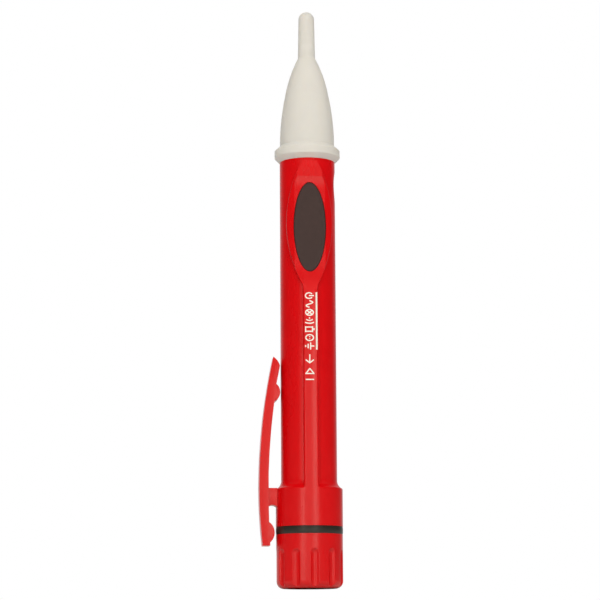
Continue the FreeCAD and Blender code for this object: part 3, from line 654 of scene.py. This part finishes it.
# Strokes of each mark in a unit cell, as (along the pen, across the land) points.
MARKS = {
    "switch": [ring_path(0.5, 0.46, 0.40, pi / 2 + 0.6, 2 * pi - 1.2), [(0.5, 0.45), (0.5, 1.0)]],
    "wave": [WAVE],
    "lamp": [ring_path(0.5, 0.5, 0.42), [(0.5 - SLANT, 0.5 - SLANT), (0.5 + SLANT, 0.5 + SLANT)],
             [(0.5 - SLANT, 0.5 + SLANT), (0.5 + SLANT, 0.5 - SLANT)]],
    "sound": [[(0.0, 0.5), (0.2, 0.5)], ring_path(0.0, 0.5, 0.45, -0.9, 1.8),
              ring_path(0.0, 0.5, 0.86, -0.6, 1.2)],
    "cell": [[(0.2, 0.04), (0.2, 0.84)], [(0.8, 0.04), (0.8, 0.84)], [(0.08, 0.06), (0.92, 0.06)],
             [(0.08, 0.82), (0.92, 0.82)], [(0.35, 0.98), (0.65, 0.98)]],
    "socket": [ring_path(0.5, 0.5, 0.42), [(0.3, 0.5), (0.42, 0.5)], [(0.58, 0.5), (0.7, 0.5)]],
    "earth": [[(0.5, 1.0), (0.5, 0.62)], [(0.0, 0.60), (1.0, 0.60)], [(0.18, 0.33), (0.82, 0.33)],
              [(0.36, 0.06), (0.64, 0.06)]],
    "arrow": [[(0.0, 0.5), (1.2, 0.5)], [(0.75, 0.95), (1.25, 0.45)], [(0.75, 0.05), (1.25, 0.55)]],
    "wedge": [[(0.08, 0.5), (0.8, 0.94)], [(0.08, 0.5), (0.8, 0.06)], [(0.8, 0.0), (0.8, 1.0)]],
    "bar": [[(0.2, 0.04), (0.2, 0.96)]],
}
# Where each mark stands, in pitches from the first.
MARK_PLACES = {"switch": 0, "wave": 1, "lamp": 2, "sound": 3, "cell": 4, "socket": 5, "earth": 6,
               "arrow": 7.4, "wedge": 9.0, "bar": 10.2}


class TESTER_OT_marks(bpy.types.Operator):
    """Printed marks on the front land: ten small pictures and a rule beside the first seven"""

    bl_idname = "tester.marks"
    bl_label = "Printed marks"

    def execute(self, context):
        sizes = context.scene.tester_sizes
        ink = printed_ink("mark_ink", context.scene.tester_colours.ink)
        for name, strokes in MARKS.items():
            top = sizes.mark_top - sizes.mark_pitch * MARK_PLACES[name]
            scaled = [[(-sizes.mark_foot + sizes.mark_high * up, top - sizes.mark_wide * along)
                       for along, up in path] for path in strokes]
            self.print_mark("mark_" + name, scaled, sizes.mark_line, sizes.ink_film, ink)
        end = sizes.mark_top - sizes.mark_pitch * 6 - sizes.mark_wide
        steps = [sizes.mark_top + (end - sizes.mark_top) * step / 8 for step in range(9)]
        rule = [(-sizes.mark_foot + sizes.mark_high * 1.28, level) for level in steps]
        self.print_mark("mark_rule", [rule], sizes.rule_line, sizes.ink_film, ink)
        return {"FINISHED"}

    def print_mark(self, name, strokes, line, film, ink):
        """Lay each stroke as a band of ink on the land and join them as one mark."""
        reach = -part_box("barrel")[0].y
        bands = []
        for index, path in enumerate(strokes):
            points = path if len(path) > 2 else split(*path)
            # Each stroke stands a little higher, so that no two faces coincide where they cross.
            bands.append(self.band(points, line, reach, film * (1 + 0.2 * index)))
        mark = joined(bands, name)
        smooth(mark)
        fit(mark, "barrel", "tip_plastic", ink)

    def band(self, path, line, reach, film):
        """A band of constant width along a path of (across, up) points, bent round the land."""
        bpy.ops.mesh.primitive_grid_add(x_subdivisions=len(path) - 1, y_subdivisions=4, size=2)
        shape = named("band")
        for vertex in shape.data.vertices:
            index = round((vertex.co.x + 1) / 2 * (len(path) - 1))
            here = path[index]
            before = Vector(path[max(index - 1, 0)])
            after = Vector(path[min(index + 1, len(path) - 1)])
            run = (after - before).normalized()
            aside = vertex.co.y * line / 2
            across = here[0] - run.y * aside
            up = here[1] + run.x * aside
            vertex.co = (across, -sqrt(reach * reach - across * across), up)
        edit(shape)
        done()
        modify(shape, "SOLIDIFY", thickness=2 * film, offset=0)
        return shape


class TESTER_OT_cells(bpy.types.Operator):
    """The two cells: printed wraps, steel cans and card gaskets"""

    bl_idname = "tester.cells"
    bl_label = "Cells"

    def execute(self, context):
        steel = drawn_metal("cell_steel", (0.62, 0.62, 0.63), 0.22)
        card = chip_compound("gasket_card", (0.62, 0.62, 0.58), 0.7)
        powder = chip_compound("pressed_powder", (0.020, 0.019, 0.018), 0.8)
        for side in ("rear", "front"):
            low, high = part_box(side + "_cell_wrap")
            wrap = cell_wrap(side + "_wrap_film", low.z, high.z)
            dress_nodes([side + "_cell_wrap"], wrap)
            dress_nodes([side + "_cell_can", side + "_cell_base"], steel)
            dress_nodes([side + "_cell_gasket"], card)
            dress_nodes([side + "_cell_filling"], powder)
        return {"FINISHED"}


class TESTER_OT_contacts(bpy.types.Operator):
    """Contacts, battery spring and sensing wire"""

    bl_idname = "tester.contacts"
    bl_label = "Contacts"

    def execute(self, context):
        brass = drawn_metal("contact_brass", (0.66, 0.52, 0.28), 0.24)
        wire = drawn_metal("spring_wire", (0.60, 0.60, 0.61), 0.20, (1, 1, 1))
        dress_nodes(["contact_strip", "front_contact", "contact_disc", "antenna"], brass)
        dress_nodes(["battery_spring"], wire)
        return {"FINISHED"}


class TESTER_OT_board(bpy.types.Operator):
    """Circuit board and what is soldered to it, and the carrier that holds it"""

    bl_idname = "tester.board"
    bl_label = "Circuit board"

    def execute(self, context):
        dress_nodes(["circuit_board"], solder_mask("board_mask",
                                                   context.scene.tester_colours.board))
        black = chip_compound("chip_black", (0.012, 0.012, 0.013))
        dress_nodes(["controller_chip", "transistor", "chip_resistors", "switch_body",
                     "buzzer"], black)
        dress_nodes(["chip_capacitors"], chip_compound("ceramic_tan", (0.30, 0.19, 0.10), 0.4))
        tin = drawn_metal("solder_tin", (0.68, 0.68, 0.69), 0.26, (1, 1, 1))
        dress_nodes(["chip_pins", "lamp_leads", "switch_cover"], tin)
        dress_nodes(["switch_plunger"], moulded_plastic("plunger_white", (0.55, 0.55, 0.52), 0.4))
        carrier = moulded_plastic("carrier_black", (0.016, 0.016, 0.018), 0.45)
        dress_nodes(["inner_carrier"], carrier)
        return {"FINISHED"}


class TESTER_OT_lamps(bpy.types.Operator):
    """The two LEDs under the tip"""

    bl_idname = "tester.lamps"
    bl_label = "Lamps"

    def execute(self, context):
        dress_nodes(["red_led"], clear_lens("lens_red", (0.62, 0.01, 0.01), 0.6))
        dress_nodes(["white_led"], clear_lens("lens_clear", (0.85, 0.87, 0.88), 0.85))
        return {"FINISHED"}


WARM_LIGHT = (1.0, 0.96, 0.84)

# Name, degrees round the pen from the camera, degrees above the horizon, distance, width and
# height, power, and whether it shows in reflections: a low panel and two strips that shine,
# and four high lamps that only fill.
LAMPS = (
    ("front_panel", 0, 1.9, 0.9, (1.2, 0.24), 0.70, True),
    ("strip_right", 21, 1.4, 0.62, (0.08, 0.18), 0.19, True),
    ("strip_left", -21, 1.4, 0.62, (0.08, 0.18), 0.17, True),
    ("fill_front", 0, 40, 1.5, (1.5, 0.75), 14.4, False),
    ("fill_left", -80, 40, 1.5, (1.5, 0.75), 5.2, False),
    ("fill_right", 80, 40, 1.5, (1.5, 0.75), 5.8, False),
    ("fill_back", 180, 40, 1.5, (1.5, 0.75), 8.0, False),
)


class TESTER_OT_stage(bpy.types.Operator):
    """Floor, surround, lamps and camera"""

    bl_idname = "tester.stage"
    bl_label = "Stage"

    def execute(self, context):
        stage = context.scene.tester_stage
        self.lay_floor()
        self.light_surround(stage.surround, stage.gloss)
        self.hang_lamps(stage)
        self.set_camera(stage)
        context.scene.view_settings.view_transform = "Standard"
        return {"FINISHED"}

    def lay_floor(self):
        """A round pale floor under the cap, clear from below, that goes down with the cap."""
        bpy.ops.mesh.primitive_circle_add(
            vertices=96, radius=1.6, fill_type="NGON", location=(0, 0, -0.3 * MM))
        floor = named("floor")
        mat = Recipe("floor_pale")
        pale = mat.mix(mat.noise(40, 3), (0.80, 0.80, 0.80), (0.84, 0.84, 0.84))
        values = {"Base Color": pale, "Roughness": 0.6}
        solid = mat.node("BsdfPrincipled", None, values)
        under = mat.node("NewGeometry", out="Backfacing")
        clear = mat.node("BsdfTransparent")
        both = mat.node("MixShader", None, {0: under, 1: solid, 2: clear})
        output = mat.tree.nodes.new("ShaderNodeOutputMaterial")
        mat.tree.links.new(both.socket, output.inputs["Surface"])
        dress(floor, mat.material)
        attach(floor, "end_cap")

    def light_surround(self, strength, gloss):
        """White where it is seen, grey as a light source, and in reflections bright only behind."""
        world = bpy.data.worlds.new("surround")
        bpy.context.scene.world = world
        world.use_nodes = True
        mat = Recipe("surround", world.node_tree)
        seen = mat.node("LightPath", out="Is Camera Ray")
        mirrored = mat.node("LightPath", out="Is Glossy Ray")
        way = mat.node("TexCoord", out="Generated")
        ahead = mat.maths("MAXIMUM", mat.node("SeparateXYZ", None, {"Vector": way}, "Y"), 0)
        glow = 0.015 + gloss * mat.maths("POWER", ahead, 4)
        level = strength + (1 - strength) * seen + (glow - strength) * mirrored
        light = mat.node("Background", None, {"Color": (1, 1, 1), "Strength": level})
        output = world.node_tree.nodes.new("ShaderNodeOutputWorld")
        world.node_tree.links.new(light.socket, output.inputs["Surface"])

    def hang_lamps(self, stage):
        """Hang every lamp of the table round the pen."""
        for name, turn, elevation, away, size, power, mirrored in LAMPS:
            azimuth = stage.azimuth + radians(turn)
            lamp = self.soft_box(name, azimuth, elevation, away, size, power)
            lamp.visible_glossy = mirrored

    def soft_box(self, name, azimuth, elevation, away, size, power):
        """An area lamp that faces the pen's middle."""
        lift = radians(elevation)
        back = Vector((sin(azimuth) * cos(lift), -cos(azimuth) * cos(lift), sin(lift)))
        light = bpy.data.lights.new(name, "AREA")
        light.shape = "RECTANGLE"
        light.size, light.size_y = size
        light.energy = power
        light.color = WARM_LIGHT
        lamp = bpy.data.objects.new(name, light)
        bpy.context.scene.collection.objects.link(lamp)
        lamp.location = Vector((0, 0, 0.09)) + back * away
        lamp.rotation_euler = back.to_track_quat("Z", "Y").to_euler()
        return lamp

    def set_camera(self, stage):
        """A long lens a little below the pen and to its left."""
        lift = stage.elevation
        back = Vector((sin(stage.azimuth) * cos(lift), -cos(stage.azimuth) * cos(lift),
                       sin(lift)))
        camera = bpy.data.objects.new("camera", bpy.data.cameras.new("camera"))
        bpy.context.scene.collection.objects.link(camera)
        camera.location = Vector((0, 0, stage.target)) + back * stage.distance
        turn = (-back).to_track_quat("-Z", "Y")
        roll = Euler((0, 0, stage.roll)).to_quaternion()
        camera.rotation_euler = (turn @ roll).to_euler()
        camera.data.lens = stage.lens
        camera.data.shift_x = stage.shift
        camera.data.clip_start = 0.01
        bpy.context.scene.camera = camera


OPERATORS = (
    TESTER_OT_housing, TESTER_OT_tip, TESTER_OT_seals, TESTER_OT_clip, TESTER_OT_pad,
    TESTER_OT_marks, TESTER_OT_cells, TESTER_OT_contacts, TESTER_OT_board, TESTER_OT_lamps,
    TESTER_OT_stage,
)


class TESTER_PT_looks(bpy.types.Panel):
    """Lists the tester's settings and steps"""

    bl_idname = "TESTER_PT_looks"
    bl_label = "Voltage Tester"
    bl_space_type = "VIEW_3D"
    bl_region_type = "UI"
    bl_category = "Tester"

    def draw(self, context):
        for group in ("tester_colours", "tester_sizes", "tester_stage"):
            settings = getattr(context.scene, group)
            box = self.layout.box()
            for name in settings.bl_rna.properties.keys()[2:]:
                box.prop(settings, name)
        for operator in OPERATORS:
            self.layout.operator(operator.bl_idname)


GROUPS = {
    "tester_colours": TesterColours,
    "tester_sizes": TesterSizes,
    "tester_stage": TesterStage,
}


def register():
    for name, group in GROUPS.items():
        bpy.utils.register_class(group)
        setattr(bpy.types.Scene, name, bpy.props.PointerProperty(type=group))
    for operator in OPERATORS:
        bpy.utils.register_class(operator)
    bpy.utils.register_class(TESTER_PT_looks)


def unregister():
    bpy.utils.unregister_class(TESTER_PT_looks)
    for operator in reversed(OPERATORS):
        bpy.utils.unregister_class(operator)
    for name, group in GROUPS.items():
        delattr(bpy.types.Scene, name)
        bpy.utils.unregister_class(group)


def main():
    register()
    deselect()
    bpy.ops.tester.housing()
    bpy.ops.tester.tip()
    bpy.ops.tester.seals()
    bpy.ops.tester.clip()
    bpy.ops.tester.pad()
    bpy.ops.tester.marks()
    bpy.ops.tester.cells()
    bpy.ops.tester.contacts()
    bpy.ops.tester.board()
    bpy.ops.tester.lamps()
    bpy.ops.tester.stage()


if __name__ == "__main__":
    main()
